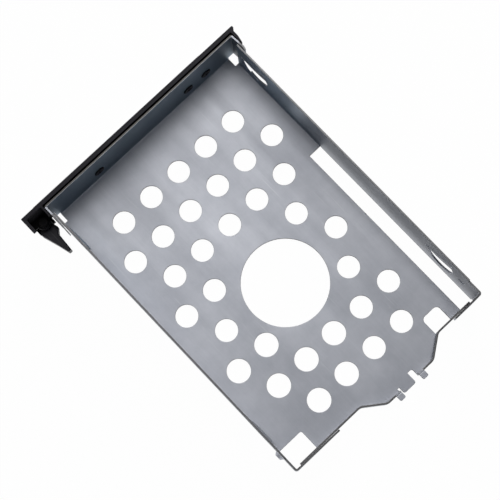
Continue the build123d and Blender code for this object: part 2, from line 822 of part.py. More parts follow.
# Screws of the moulding: pan heads inside the tray
for index, x in enumerate(screw_spots, start=1):
    with BuildPart() as screw:
        with BuildSketch(on_y(front_inner)) as head:
            with Locations((x, screw_z)):
                Circle(screw_head_radius)
        extrude(amount=-screw_head)
        fillet(screw.faces().sort_by(Axis.Y)[-1].edges(), 0.3)
        with BuildSketch(on_y(front_inner)) as shank:
            with Locations((x, screw_z)):
                Circle(screw_radius)
        extrude(amount=sheet + plate_gap + plate - screw_tip_cover - 0.1)
        for turn in (0, 90):
            with Locations(Location((x, front_inner + screw_head, screw_z), (0, turn, 0))):
                Box(2.6, 0.9, 0.6, mode=Mode.SUBTRACT)
    screw.part.label = f"bezel_screw_{index}"
    export_step(screw.part, f"parts/bezel_screw_{index}.step")
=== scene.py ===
"""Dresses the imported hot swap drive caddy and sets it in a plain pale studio.

The folded tray gets a zinc coated sheet finish, the front, lever and button get
moulded black plastics, and the fasteners get oxide and bare steel finishes.
"""

import logging
import math
from dataclasses import dataclass
from enum import Enum

import bpy
from bpy.types import Material, Node, NodeSocket, NodeTree, Object, ShaderNodeTree
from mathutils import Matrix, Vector


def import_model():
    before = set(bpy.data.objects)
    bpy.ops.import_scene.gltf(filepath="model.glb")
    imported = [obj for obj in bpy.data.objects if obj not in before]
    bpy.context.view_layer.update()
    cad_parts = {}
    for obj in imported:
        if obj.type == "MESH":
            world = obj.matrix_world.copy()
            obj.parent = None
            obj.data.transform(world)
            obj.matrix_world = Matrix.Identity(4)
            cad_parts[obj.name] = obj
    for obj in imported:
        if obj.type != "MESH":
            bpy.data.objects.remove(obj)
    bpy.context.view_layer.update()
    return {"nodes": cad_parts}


MM = 0.001

log = logging.getLogger("drive_caddy")


class Kind(Enum):
    """Socket kinds that the shared effects offer."""

    NUMBER = "NodeSocketFloat"
    COLOUR = "NodeSocketColor"
    VECTOR = "NodeSocketVector"


class Lay(Enum):
    """Direction in which a finish is drawn or rolled, as stretch factors for X, Y and Z."""

    ALONG_TRAY = (1.0, 0.05, 1.0)
    ACROSS_TRAY = (0.05, 1.0, 1.0)
    EVEN = (1.0, 1.0, 1.0)


class Wiring:
    """Adds shader nodes to a tree and joins their sockets."""

    mix_share = 0
    mix_colours = (6, 7)
    mixed_colour = 2

    def __init__(self, tree: NodeTree) -> None:
        """Keeps the node tree of a material, world or group, which the nodes go into."""
        self.tree = tree

    def add(self, kind: str, values: dict | None = None, **settings: object) -> Node:
        """Adds one node.

        Args:
            kind: Blender's name for the node type.
            values: Socket name or number to a constant or to another node's output.
            settings: Properties of the node itself.

        Returns:
            The new node.
        """
        node = self.tree.nodes.new(kind)
        for name, setting in settings.items():
            setattr(node, name, setting)
        for key, value in (values or {}).items():
            self.feed(node, key, value)
        return node

    def feed(self, node: Node, key: str | int, value: object) -> None:
        """Gives one input socket a constant or a link.

        Args:
            node: Node that takes the value.
            key: Name or number of its input.
            value: A constant, or the output socket of another node.
        """
        if isinstance(value, NodeSocket):
            self.tree.links.new(value, node.inputs[key])
        else:
            node.inputs[key].default_value = value

    def maths(self, operation: str, first: object, second: object = 0.0) -> NodeSocket:
        """Joins two values or sockets by one sum, which has Blender's name, such as MULTIPLY."""
        return self.add("ShaderNodeMath", {0: first, 1: second}, operation=operation).outputs[0]

    def times(self, first: object, *others: object) -> NodeSocket:
        """Multiplies two or more values.

        Args:
            first: First value or socket.
            others: Further values or sockets.

        Returns:
            The product's socket.
        """
        product = first
        for other in others:
            product = self.maths("MULTIPLY", product, other)
        return product

    def most(self, first: object, *others: object) -> NodeSocket:
        """Picks the largest of two or more values.

        Args:
            first: First value or socket.
            others: Further values or sockets.

        Returns:
            The largest value's socket.
        """
        largest = first
        for other in others:
            largest = self.maths("MAXIMUM", largest, other)
        return largest

    def weigh(self, first: object, weight: float, second: object, other: float) -> NodeSocket:
        """Adds two values or sockets, each multiplied by the weight that follows it."""
        return self.maths("ADD", self.times(first, weight), self.times(second, other))

    def blend(self, share: object, first: object, second: object) -> NodeSocket:
        """Mixes two colours.

        Args:
            share: Share of the second colour, from 0 to 1.
            first: First colour or socket.
            second: Second colour or socket.

        Returns:
            The mixed colour's socket.
        """
        node = self.add("ShaderNodeMix", data_type="RGBA", clamp_factor=True)
        self.feed(node, self.mix_share, share)
        for key, value in zip(self.mix_colours, (first, second)):
            self.feed(node, key, value)
        return node.outputs[self.mixed_colour]

    def spread(self, value: object, ends: tuple, results: tuple = (0.0, 1.0)) -> NodeSocket:
        """Stretches the range between two ends of a value to two results, which it never passes."""
        values = {0: value, 1: ends[0], 2: ends[1], 3: results[0], 4: results[1]}
        return self.add("ShaderNodeMapRange", values, clamp=True).outputs[0]

    def noise(self, place: object, scale: object, detail: float = 3.0, roughness: float = 0.5) -> NodeSocket:
        """Adds a cloudy pattern around 0.5, with its clouds per metre and its finer layers."""
        values = {"Vector": place, "Scale": scale, "Detail": detail, "Roughness": roughness}
        return self.add("ShaderNodeTexNoise", values).outputs[0]

    def place(self) -> NodeSocket:
        """Gives the piece's own coordinates in metres."""
        return self.add("ShaderNodeTexCoord").outputs["Object"]

    def stretched(self, place: object, factors: tuple, turn: tuple = (0.0, 0.0, 0.0)) -> NodeSocket:
        """Scales coordinates and turns them by radians, so that a pattern runs in one direction."""
        values = {"Vector": place, "Scale": factors, "Rotation": turn}
        return self.add("ShaderNodeMapping", values, vector_type="POINT").outputs[0]

    def emboss(self, shader: Node, height: object, normal: object, strength: float, depth: float) -> None:
        """Gives a shader a pattern's relief, some millimetres deep, on top of softened edges."""
        values = {"Height": height, "Normal": normal, "Strength": strength, "Distance": depth * MM}
        self.feed(shader, "Normal", self.add("ShaderNodeBump", values).outputs[0])


class Effect:
    """A shared look: a node group with named inputs and outputs, built once.

    A name that ends in range is a pair: where a mask or a value starts, and where it is full.
    """

    title = "Effect"
    inputs: tuple = ()
    outputs: tuple = ()

    def __init__(self) -> None:
        """Makes the group with its sockets and fills it."""
        self.tree: ShaderNodeTree = bpy.data.node_groups.new(self.title, "ShaderNodeTree")
        for name, kind, value in self.inputs:
            socket = self.tree.interface.new_socket(name=name, in_out="INPUT", socket_type=kind.value)
            socket.default_value = value
        for name, kind in self.outputs:
            self.tree.interface.new_socket(name=name, in_out="OUTPUT", socket_type=kind.value)
        wiring = Wiring(self.tree)
        entry = wiring.add("NodeGroupInput")
        result = wiring.add("NodeGroupOutput")
        self.fill(wiring, entry, result)

    def fill(self, wiring: Wiring, entry: Node, result: Node) -> None:
        """Builds the effect between the node of its inputs and the node of its outputs."""
        raise NotImplementedError

    def put(self, wiring: Wiring, values: dict) -> Node:
        """Places the effect in a material.

        Args:
            wiring: Wiring of the material's tree.
            values: Input name to a constant or a socket.

        Returns:
            The group's node, whose outputs have the effect's names.
        """
        node = wiring.tree.nodes.new("ShaderNodeGroup")
        node.node_tree = self.tree
        for name, value in values.items():
            wiring.feed(node, name, value)
        return node


class RoundedEdges(Effect):
    """Softens edges and finds where they are, for wear and for painted highlights and shade on the sheet's
    cut edges.
    """

    title = "Rounded edges"
    inputs = (
        ("Radius", Kind.NUMBER, 0.0003),
        ("Breakup", Kind.NUMBER, 400.0),
        ("Place", Kind.VECTOR, (0.0, 0.0, 0.0)),
    )
    outputs = (("Normal", Kind.VECTOR), ("Edge", Kind.NUMBER), ("Worn", Kind.NUMBER))
    facing_range = (0.985, 0.86)
    fleck_range = (0.42, 0.62)

    def fill(self, wiring: Wiring, entry: Node, result: Node) -> None:
        """Compares the softened normal with the plain one and breaks the line up with noise.

        Args:
            wiring: Wiring of the group's tree.
            entry: Node that holds the inputs.
            result: Node that takes the outputs.
        """
        bevel = wiring.add("ShaderNodeBevel", {"Radius": entry.outputs["Radius"]}, samples=6)
        plain = wiring.add("ShaderNodeNewGeometry").outputs["Normal"]
        match = wiring.add("ShaderNodeVectorMath", {0: bevel.outputs[0], 1: plain}, operation="DOT_PRODUCT")
        edge = wiring.spread(match.outputs["Value"], self.facing_range)
        flecks = wiring.noise(entry.outputs["Place"], entry.outputs["Breakup"], detail=4.0, roughness=0.6)
        worn = wiring.times(edge, wiring.spread(flecks, self.fleck_range))
        wiring.feed(result, "Normal", bevel.outputs[0])
        wiring.feed(result, "Edge", edge)
        wiring.feed(result, "Worn", worn)


class RolledGrain(Effect):
    """Fine streaks of rolled or drawn metal, with soft clouds of the coating."""

    title = "Rolled grain"
    inputs = (
        ("Place", Kind.VECTOR, (0.0, 0.0, 0.0)),
        ("Streaks", Kind.NUMBER, 1400.0),
        ("Clouds", Kind.NUMBER, 60.0),
    )
    outputs = (("Streak", Kind.NUMBER), ("Cloud", Kind.NUMBER), ("Height", Kind.NUMBER))
    broad_scale = 0.14
    fine_weight = 0.6
    broad_weight = 0.4
    cloud_range = (0.3, 0.7)
    cloud_relief = 0.3

    def fill(self, wiring: Wiring, entry: Node, result: Node) -> None:
        """Layers two streak patterns and a cloud pattern.

        Args:
            wiring: Wiring of the group's tree.
            entry: Node that holds the inputs.
            result: Node that takes the outputs.
        """
        place = entry.outputs["Place"]
        fine = wiring.noise(place, entry.outputs["Streaks"], detail=3.0, roughness=0.7)
        broad_size = wiring.times(entry.outputs["Streaks"], self.broad_scale)
        broad = wiring.noise(place, broad_size, detail=2.0, roughness=0.6)
        streak = wiring.weigh(fine, self.fine_weight, broad, self.broad_weight)
        cloud = wiring.noise(place, entry.outputs["Clouds"], detail=5.0, roughness=0.62)
        wiring.feed(result, "Streak", streak)
        wiring.feed(result, "Cloud", wiring.spread(cloud, self.cloud_range))
        wiring.feed(result, "Height", wiring.maths("ADD", streak, wiring.times(cloud, self.cloud_relief)))


class MouldGrain(Effect):
    """Spark eroded skin of a moulded plastic: tiny soft pits and a faint unevenness."""

    title = "Mould grain"
    inputs = (("Place", Kind.VECTOR, (0.0, 0.0, 0.0)), ("Pits", Kind.NUMBER, 2600.0))
    outputs = (("Pit", Kind.NUMBER), ("Flow", Kind.NUMBER), ("Height", Kind.NUMBER))
    fine_scale = 1.7
    cell_weight = 0.7
    fine_weight = 0.5
    flow_scale = 90.0
    flow_range = (0.35, 0.65)

    def fill(self, wiring: Wiring, entry: Node, result: Node) -> None:
        """Joins smooth cells with fine noise, and adds broad flow marks.

        Args:
            wiring: Wiring of the group's tree.
            entry: Node that holds the inputs.
            result: Node that takes the outputs.
        """
        place = entry.outputs["Place"]
        values = {"Vector": place, "Scale": entry.outputs["Pits"], "Smoothness": 0.6}
        cells = wiring.add("ShaderNodeTexVoronoi", values, feature="SMOOTH_F1").outputs["Distance"]
        fine_size = wiring.times(entry.outputs["Pits"], self.fine_scale)
        fine = wiring.noise(place, fine_size, detail=2.0, roughness=0.6)
        pit = wiring.weigh(cells, self.cell_weight, fine, self.fine_weight)
        flow = wiring.noise(place, self.flow_scale, detail=3.0, roughness=0.55)
        wiring.feed(result, "Pit", pit)
        wiring.feed(result, "Flow", wiring.spread(flow, self.flow_range))
        wiring.feed(result, "Height", pit)


class ShearedSheet(Effect):
    """Tells the cut faces and the folded walls of the sheet from its flat floor."""

    title = "Sheared sheet"
    inputs = (("Place", Kind.VECTOR, (0.0, 0.0, 0.0)),)
    outputs = (
        ("ShadedCut", Kind.NUMBER),
        ("Wall", Kind.NUMBER),
        ("Front", Kind.NUMBER),
        ("Fore", Kind.NUMBER),
        ("Flat", Kind.NUMBER),
    )
    # Heights above the underside, in millimetres
    rim_range = (0.86, 0.80)
    floor_range = (1.2, 0.9)
    raised_range = (1.5, 2.0)
    wall_top_range = (24.5, 24.9)
    # Places along the tray, in millimetres
    front_edge_range = (-0.78, -0.95)
    front_inside_range = (0.4, -0.4)
    side_edge_range = (3.0, 3.6)
    fore_range = (60.0, 25.0)
    flange_start_range = (146.9, 147.1)
    flange_end_range = (155.3, 155.0)
    # Places across the tray, and distances from them, in millimetres
    side_inside_range = (52.1, 51.7)
    hooks_middle = -7.6
    hook_from_middle = 6.6
    hook_side_range = (1.2, 1.5)
    # How far a face's normal points up, from 0 to 1
    upright_range = (0.35, 0.15)
    slope_range = (0.3, 0.5)
    level_range = (0.8, 0.95)
    # Strengths of the painted shade on the side walls' tops, and at and beside the hooks
    side_edge_strength = 0.75
    hook_strengths = (0.1, 0.85)

    def band(self, wiring: Wiring, place: object, ends: tuple, results: tuple = (0.0, 1.0)) -> NodeSocket:
        """Makes a mask along one coordinate, with its ends in millimetres."""
        return wiring.spread(place, (ends[0] * MM, ends[1] * MM), results)

    def rear_edge(self, wiring: Wiring, place: object, up: object) -> NodeSocket:
        """Masks the tops of the rear flange and of the wraps behind it for painted shade, but hardly the
        hooks.

        Args:
            wiring: Wiring of the group's tree.
            place: Outputs that hold the coordinates.
            up: Socket of the normal's upward share.

        Returns:
            The mask's socket.
        """
        middle = wiring.maths("ABSOLUTE", wiring.maths("SUBTRACT", place["X"], self.hooks_middle * MM))
        hook = wiring.maths("ABSOLUTE", wiring.maths("SUBTRACT", middle, self.hook_from_middle * MM))
        return wiring.times(
            self.band(wiring, place["Y"], self.flange_start_range),
            self.band(wiring, place["Y"], self.flange_end_range),
            self.band(wiring, place["Z"], self.raised_range),
            wiring.spread(up, self.slope_range),
            self.band(wiring, hook, self.hook_side_range, self.hook_strengths),
        )

    def fill(self, wiring: Wiring, entry: Node, result: Node) -> None:
        """Finds the cut faces and tops that get painted shade, upright faces, the insides of the front end,
        and the floor.

        Args:
            wiring: Wiring of the group's tree.
            entry: Node that holds the inputs.
            result: Node that takes the outputs.
        """
        normal = wiring.add("ShaderNodeNewGeometry").outputs["Normal"]
        up = wiring.add("ShaderNodeSeparateXYZ", {0: normal}).outputs["Z"]
        place = wiring.add("ShaderNodeSeparateXYZ", {0: entry.outputs["Place"]}).outputs
        upright = wiring.spread(wiring.maths("ABSOLUTE", up), self.upright_range)
        low = self.band(wiring, place["Z"], self.rim_range)
        wall = wiring.times(upright, wiring.maths("SUBTRACT", 1.0, low))
        top = wiring.times(wiring.spread(up, self.level_range),
                           self.band(wiring, place["Z"], self.wall_top_range))
        # Painted shade mask: low cut faces, the front wall's outer top, the side walls' tops and the rear
        # flange's top
        shaded_cut = wiring.most(
            wiring.times(upright, low),
            wiring.times(top, self.band(wiring, place["Y"], self.front_edge_range)),
            wiring.times(top, self.band(wiring, place["Y"], self.side_edge_range), self.side_edge_strength),
            self.rear_edge(wiring, place, up),
        )
        inner = self.band(wiring, wiring.maths("ABSOLUTE", place["X"]), self.side_inside_range)
        fore = wiring.times(inner, self.band(wiring, place["Y"], self.fore_range))
        front = wiring.times(wall, self.band(wiring, place["Y"], self.front_inside_range))
        wiring.feed(result, "ShadedCut", shaded_cut)
        wiring.feed(result, "Wall", wall)
        wiring.feed(result, "Front", front)
        wiring.feed(result, "Fore", fore)
        wiring.feed(result, "Flat", self.band(wiring, place["Z"], self.floor_range))


class Recess(Effect):
    """Finds pockets and inner corners, where the materials get painted shade and a duller gloss."""

    title = "Recess"
    inputs = (("Reach", Kind.NUMBER, 0.012),)
    outputs = (("Depth", Kind.NUMBER),)
    open_range = (0.95, 0.35)

    def fill(self, wiring: Wiring, entry: Node, result: Node) -> None:
        """Turns the open share of the surroundings into a depth from 0 to 1.

        Args:
            wiring: Wiring of the group's tree.
            entry: Node that holds the inputs.
            result: Node that takes the outputs.
        """
        values = {"Distance": entry.outputs["Reach"]}
        open_share = wiring.add("ShaderNodeAmbientOcclusion", values, samples=6).outputs["AO"]
        wiring.feed(result, "Depth", wiring.spread(open_share, self.open_range))


class Scratches(Effect):
    """Short thin handling marks in two directions, gathered in patches."""

    title = "Scratches"
    inputs = (
        ("Place", Kind.VECTOR, (0.0, 0.0, 0.0)),
        ("Fineness", Kind.NUMBER, 900.0),
        ("Amount", Kind.NUMBER, 0.3),
    )
    outputs = (("Mark", Kind.NUMBER),)
    turns = (0.5, -0.9)
    stretch = (1.0, 0.03, 1.0)
    crest_range = (0.70, 0.76)
    patch_scale = 45.0
    patch_range = (0.48, 0.62)

    def fill(self, wiring: Wiring, entry: Node, result: Node) -> None:
        """Cuts thin crests from two stretched patterns and keeps them in patches.

        Args:
            wiring: Wiring of the group's tree.
            entry: Node that holds the inputs.
            result: Node that takes the outputs.
        """
        crests = []
        for turn in self.turns:
            lines = wiring.stretched(entry.outputs["Place"], self.stretch, (0.0, 0.0, turn))
            crest = wiring.noise(lines, entry.outputs["Fineness"], detail=1.0, roughness=0.4)
            crests.append(wiring.spread(crest, self.crest_range))
        patches = wiring.noise(entry.outputs["Place"], self.patch_scale, detail=2.0)
        gathered = wiring.spread(patches, self.patch_range)
        marks = wiring.times(wiring.most(*crests), gathered, entry.outputs["Amount"])
        wiring.feed(result, "Mark", marks)


class SettledDust(Effect):
    """Pale specks on faces that look up."""

    title = "Settled dust"
    inputs = (("Place", Kind.VECTOR, (0.0, 0.0, 0.0)), ("Amount", Kind.NUMBER, 0.2))
    outputs = (("Dust", Kind.NUMBER),)
    cell_scale = 420.0
    speck_range = (0.13, 0.05)
    patch_scale = 150.0
    patch_range = (0.5, 0.66)
    upward_range = (0.6, 0.95)

    def fill(self, wiring: Wiring, entry: Node, result: Node) -> None:
        """Scatters cells' centres over the faces whose normal points up.

        Args:
            wiring: Wiring of the group's tree.
            entry: Node that holds the inputs.
            result: Node that takes the outputs.
        """
        values = {"Vector": entry.outputs["Place"], "Scale": self.cell_scale}
        cells = wiring.add("ShaderNodeTexVoronoi", values, feature="F1")
        speck = wiring.spread(cells.outputs["Distance"], self.speck_range)
        patches = wiring.noise(entry.outputs["Place"], self.patch_scale, detail=3.0)
        gathered = wiring.spread(patches, self.patch_range)
        normal = wiring.add("ShaderNodeNewGeometry").outputs["Normal"]
        upward = wiring.add("ShaderNodeSeparateXYZ", {0: normal}).outputs["Z"]
        level = wiring.spread(upward, self.upward_range)
        wiring.feed(result, "Dust", wiring.times(speck, gathered, level, entry.outputs["Amount"]))


@dataclass
class Effects:
    """The shared effects, built once for all the materials."""

    edges: RoundedEdges
    grain: RolledGrain
    mould: MouldGrain
    sheared: ShearedSheet
    recess: Recess
    scratches: Scratches
    dust: SettledDust

    @classmethod
    def build(cls) -> "Effects":
        """Builds each group once."""
        return cls(RoundedEdges(), RolledGrain(), MouldGrain(), ShearedSheet(), Recess(),
                   Scratches(), SettledDust())


def new_material(name: str) -> tuple[Material, Wiring, Node]:
    """Makes an empty material with one Principled shader.

    Args:
        name: Name of the material.

    Returns:
        The material, its wiring and its shader node.
    """
    material = bpy.data.materials.new(name)
    material.use_nodes = True
    material.node_tree.nodes.clear()
    wiring = Wiring(material.node_tree)
    shader = wiring.add("ShaderNodeBsdfPrincipled")
    wiring.add("ShaderNodeOutputMaterial", {"Surface": shader.outputs[0]})
    return material, wiring, shader


@dataclass(frozen=True)
class ZincSheet:
    """Zinc coated rolled sheet with bare cut edges, light handling marks, painted shade on its walls and cut
    faces, and painted highlights on its edges, in millimetres.
    """

    name: str = "zinc_sheet"
    light: tuple = (0.522, 0.535, 0.584, 1.0)
    dark: tuple = (0.407, 0.42, 0.467, 1.0)
    # Edge colours: bare cut metal with a painted highlight, and a painted shade for cut faces and tops
    cut_edge_highlight: tuple = (0.74, 0.76, 0.79, 1.0)
    shaded_cut: tuple = (0.11, 0.105, 0.10, 1.0)
    # Painted shade for the tray's upright wall faces, and a cooler painted shade toward the front
    rubbed_and_shaded: tuple = (0.275, 0.292, 0.325, 1.0)
    cool_wall_shade: tuple = (0.27, 0.365, 0.455, 1.0)
    # Painted shade for the front wall's inner face
    front_wall_shade: tuple = (0.15, 0.195, 0.24, 1.0)
    mark: tuple = (0.66, 0.68, 0.70, 1.0)
    dust: tuple = (0.62, 0.60, 0.57, 1.0)
    metal: float = 1.0
    streaks: float = 1500.0
    clouds: float = 70.0
    patches: float = 28.0
    patch_range: tuple = (0.36, 0.66)
    patch_weight: float = 0.55
    streak_weight: float = 0.45
    tone_range: tuple = (0.2, 0.8)
    wall_shade_cover: float = 0.8
    front_shade_cover: float = 0.6
    rim_light_cover: float = 0.65
    smooth: float = 0.44
    rough: float = 0.56
    rough_range: tuple = (0.0, 1.2)
    relief: float = 0.22
    depth: float = 0.02
    edge_radius: float = 0.28
    lay: Lay = Lay.ALONG_TRAY

    def material(self, effects: Effects) -> Material:
        """Builds the sheet's material.

        Args:
            effects: The shared node groups.

        Returns:
            The material.
        """
        material, wiring, shader = new_material(self.name)
        place = wiring.place()
        lines = wiring.stretched(place, self.lay.value)
        grain = effects.grain.put(wiring, {"Place": lines, "Streaks": self.streaks, "Clouds": self.clouds})
        patches = wiring.noise(place, self.patches, detail=6.0, roughness=0.65)
        spots = wiring.spread(patches, self.patch_range)
        edges = effects.edges.put(wiring, {"Radius": self.edge_radius * MM, "Breakup": 900.0, "Place": place})
        marks = effects.scratches.put(wiring, {"Place": place, "Fineness": 1100.0, "Amount": 0.35})
        sheared = effects.sheared.put(wiring, {"Place": place})
        dust = effects.dust.put(wiring, {"Place": place, "Amount": 0.25})

        tone = wiring.weigh(spots, self.patch_weight, grain.outputs["Streak"], self.streak_weight)
        colour = wiring.blend(wiring.spread(tone, self.tone_range), self.dark, self.light)
        # Painted shade: the upright wall faces are darkened, cooler toward the front
        wall_shade = wiring.blend(sheared.outputs["Fore"], self.rubbed_and_shaded, self.cool_wall_shade)
        colour = wiring.blend(wiring.times(sheared.outputs["Wall"], self.wall_shade_cover), colour, wall_shade)
        # Painted shade: the front wall's inner face is darkened further
        colour = wiring.blend(wiring.times(sheared.outputs["Front"], self.front_shade_cover), colour, self.front_wall_shade)
        colour = wiring.blend(marks.outputs["Mark"], colour, self.mark)
        # Edges above the floor get a painted highlight and the floor's hole rims a painted shade, over the
        # bare cut metal
        rim_light_and_shade = wiring.blend(sheared.outputs["Flat"], self.cut_edge_highlight, self.shaded_cut)
        colour = wiring.blend(wiring.times(edges.outputs["Edge"], self.rim_light_cover), colour, rim_light_and_shade)
        # Painted shade on the low cut faces and on the front, side and flange tops, partly the darker bare
        # cut steel
        colour = wiring.blend(sheared.outputs["ShadedCut"], colour, self.shaded_cut)
        colour = wiring.blend(dust.outputs["Dust"], colour, self.dust)
        wiring.feed(shader, "Base Color", colour)
        wiring.feed(shader, "Metallic", self.metal)
        uneven = wiring.maths("ADD", grain.outputs["Cloud"], marks.outputs["Mark"])
        matt = wiring.spread(uneven, self.rough_range, (self.smooth, self.rough))
        wiring.feed(shader, "Roughness", matt)
        wiring.emboss(shader, grain.outputs["Height"], edges.outputs["Normal"], self.relief, self.depth)
        return material


@dataclass(frozen=True)
class MouldedPlastic:
    """Black moulded plastic with a matt skin, edges that handling has polished and painted shade in its
    recesses, in millimetres.
    """

    name: str
    colour: tuple
    tint: tuple
    worn: tuple = (0.075, 0.075, 0.08, 1.0)
    worn_cover: float = 0.6
    dust: tuple = (0.20, 0.20, 0.20, 1.0)
    # Painted shade colour for pockets and inner corners
    hollow_shade: tuple = (0.002, 0.002, 0.003, 1.0)
    reach: float = 12.0
    dulling: float = 0.4
    polish: float = 0.35
    shine: float = 0.22
    smooth: float = 0.38
    rough: float = 0.56
    pits: float = 2600.0
    relief: float = 0.45
    depth: float = 0.035
    edge_radius: float = 0.28

    def material(self, effects: Effects) -> Material:
        """Builds the plastic's material.

        Args:
            effects: The shared node groups.

        Returns:
            The material.
        """
        material, wiring, shader = new_material(self.name)
        place = wiring.place()
        skin = effects.mould.put(wiring, {"Place": place, "Pits": self.pits})
        edges = effects.edges.put(wiring, {"Radius": self.edge_radius * MM, "Breakup": 600.0, "Place": place})
        marks = effects.scratches.put(wiring, {"Place": place, "Fineness": 1300.0, "Amount": 0.4})
        dust = effects.dust.put(wiring, {"Place": place, "Amount": 0.35})
        recess = effects.recess.put(wiring, {"Reach": self.reach * MM})

        colour = wiring.blend(skin.outputs["Flow"], self.colour, self.tint)
        colour = wiring.blend(wiring.times(edges.outputs["Worn"], self.worn_cover), colour, self.worn)
        colour = wiring.blend(marks.outputs["Mark"], colour, self.worn)
        colour = wiring.blend(dust.outputs["Dust"], colour, self.dust)
        # Painted shade: recesses darkened toward near black
        colour = wiring.blend(recess.outputs["Depth"], colour, self.hollow_shade)
        wiring.feed(shader, "Base Color", colour)
        polished = wiring.times(edges.outputs["Edge"], self.polish)
        uneven = wiring.maths("SUBTRACT", skin.outputs["Pit"], polished)
        matt = wiring.spread(uneven, (0.0, 1.0), (self.smooth, self.rough))
        dull = wiring.times(recess.outputs["Depth"], self.dulling)
        wiring.feed(shader, "Roughness", wiring.maths("ADD", matt, dull))
        wiring.feed(shader, "Specular IOR Level", self.shine)
        wiring.emboss(shader, skin.outputs["Height"], edges.outputs["Normal"], self.relief, self.depth)
        return material


@dataclass(frozen=True)
class OxidedSteel:
    """Blackened steel of the screws and the pin, rubbed bright at its edges, in millimetres."""

    name: str
    colour: tuple = (0.007, 0.007, 0.009, 1.0)
    tint: tuple = (0.015, 0.014, 0.015, 1.0)
    rubbed_and_shaded: tuple = (0.20, 0.20, 0.21, 1.0)
    rubbed_cover: float = 0.5
    metal: float = 0.4
    shine: float = 0.2
    smooth: float = 0.36
    rough: float = 0.52
    streak_range: tuple = (0.3, 0.7)
    relief: float = 0.3
    depth: float = 0.01
    edge_radius: float = 0.12

    def material(self, effects: Effects) -> Material:
        """Builds the fastener's material.

        Args:
            effects: The shared node groups.

        Returns:
            The material.
        """
        material, wiring, shader = new_material(self.name)
        place = wiring.place()
        grain = effects.grain.put(wiring, {"Place": place, "Streaks": 3800.0, "Clouds": 700.0})
        radius = self.edge_radius * MM
        edges = effects.edges.put(wiring, {"Radius": radius, "Breakup": 2400.0, "Place": place})
        colour = wiring.blend(grain.outputs["Cloud"], self.colour, self.tint)
        colour = wiring.blend(wiring.times(edges.outputs["Worn"], self.rubbed_cover), colour, self.rubbed_and_shaded)
        wiring.feed(shader, "Base Color", colour)
        wiring.feed(shader, "Metallic", self.metal)
        wiring.feed(shader, "Specular IOR Level", self.shine)
        matt = wiring.spread(grain.outputs["Streak"], self.streak_range, (self.smooth, self.rough))
        wiring.feed(shader, "Roughness", matt)
        wiring.emboss(shader, grain.outputs["Height"], edges.outputs["Normal"], self.relief, self.depth)
        return material


@dataclass(frozen=True)
class DrawnSteel:
    """Bare spring steel with fine drawing lines and a warm tempered cast, in millimetres."""

    name: str
    colour: tuple = (0.46, 0.455, 0.45, 1.0)
    temper: tuple = (0.36, 0.325, 0.28, 1.0)
    temper_cover: float = 0.55
    metal: float = 1.0
    smooth: float = 0.22
    rough: float = 0.40
    streak_range: tuple = (0.3, 0.7)
    relief: float = 0.3
    depth: float = 0.008
    edge_radius: float = 0.08
    lay: Lay = Lay.EVEN

    def material(self, effects: Effects) -> Material:
        """Builds the spring steel's material.

        Args:
            effects: The shared node groups.

        Returns:
            The material.
        """
        material, wiring, shader = new_material(self.name)
        place = wiring.place()
        lines = wiring.stretched(place, self.lay.value)
        grain = effects.grain.put(wiring, {"Place": lines, "Streaks": 5200.0, "Clouds": 500.0})
        radius = self.edge_radius * MM
        edges = effects.edges.put(wiring, {"Radius": radius, "Breakup": 2000.0, "Place": place})
        share = wiring.times(grain.outputs["Cloud"], self.temper_cover)
        colour = wiring.blend(share, self.colour, self.temper)
        wiring.feed(shader, "Base Color", colour)
        wiring.feed(shader, "Metallic", self.metal)
        matt = wiring.spread(grain.outputs["Streak"], self.streak_range, (self.smooth, self.rough))
        wiring.feed(shader, "Roughness", matt)
        wiring.emboss(shader, grain.outputs["Height"], edges.outputs["Normal"], self.relief, self.depth)
        return material


def dress(node: Object, material: Material) -> None:
    """Gives a carried-over solid its material.

    Args:
        node: The CAD solid's object.
        material: Material for all of it.
    """
    node.data.materials.clear()
    node.data.materials.append(material)
    log.info("%s wears %s", node.name, material.name)


@dataclass
class SheetTray:
    """The tray folded from one sheet."""

    finish: ZincSheet

    def dress(self, nodes: dict[str, Object], effects: Effects) -> None:
        """Puts the sheet finish on the tray."""
        dress(nodes["tray"], self.finish.material(effects))


@dataclass
class FrontMoulding:
    """The fixed black front with its pocket and its button housing."""

    finish: MouldedPlastic

    def dress(self, nodes: dict[str, Object], effects: Effects) -> None:
        """Puts the plastic on the front."""
        dress(nodes["bezel"], self.finish.material(effects))


@dataclass
class SwingLever:
    """The lever with its claw, its cover and the cover's screws."""

    arm: MouldedPlastic
    cover: MouldedPlastic

    def dress(self, nodes: dict[str, Object], effects: Effects) -> None:
        """Puts the plastics on the lever and its cover."""
        dress(nodes["lever"], self.arm.material(effects))
        dress(nodes["handle_cover"], self.cover.material(effects))


@dataclass
class ReleaseButton:
    """The sprung button that holds the lever's lip."""

    finish: MouldedPlastic
    wire: DrawnSteel

    def dress(self, nodes: dict[str, Object], effects: Effects) -> None:
        """Puts the plastic on the button and bare steel on its spring."""
        dress(nodes["release_button"], self.finish.material(effects))
        dress(nodes["release_spring"], self.wire.material(effects))


@dataclass
class Fasteners:
    """Screws, pivot pin and the pin's clip."""

    screws: OxidedSteel
    pin: OxidedSteel
    clip: DrawnSteel

    def dress(self, nodes: dict[str, Object], effects: Effects) -> None:
        """Puts oxide on the screws and the pin and bare steel on the clip.

        Args:
            nodes: Node name to the CAD solid's object.
            effects: The shared node groups.
        """
        black = self.screws.material(effects)
        for name in sorted(nodes):
            if name.startswith(("bezel_screw", "cover_screw")):
                dress(nodes[name], black)
        dress(nodes["pivot_pin"], self.pin.material(effects))
        dress(nodes["pivot_clip"], self.clip.material(effects))


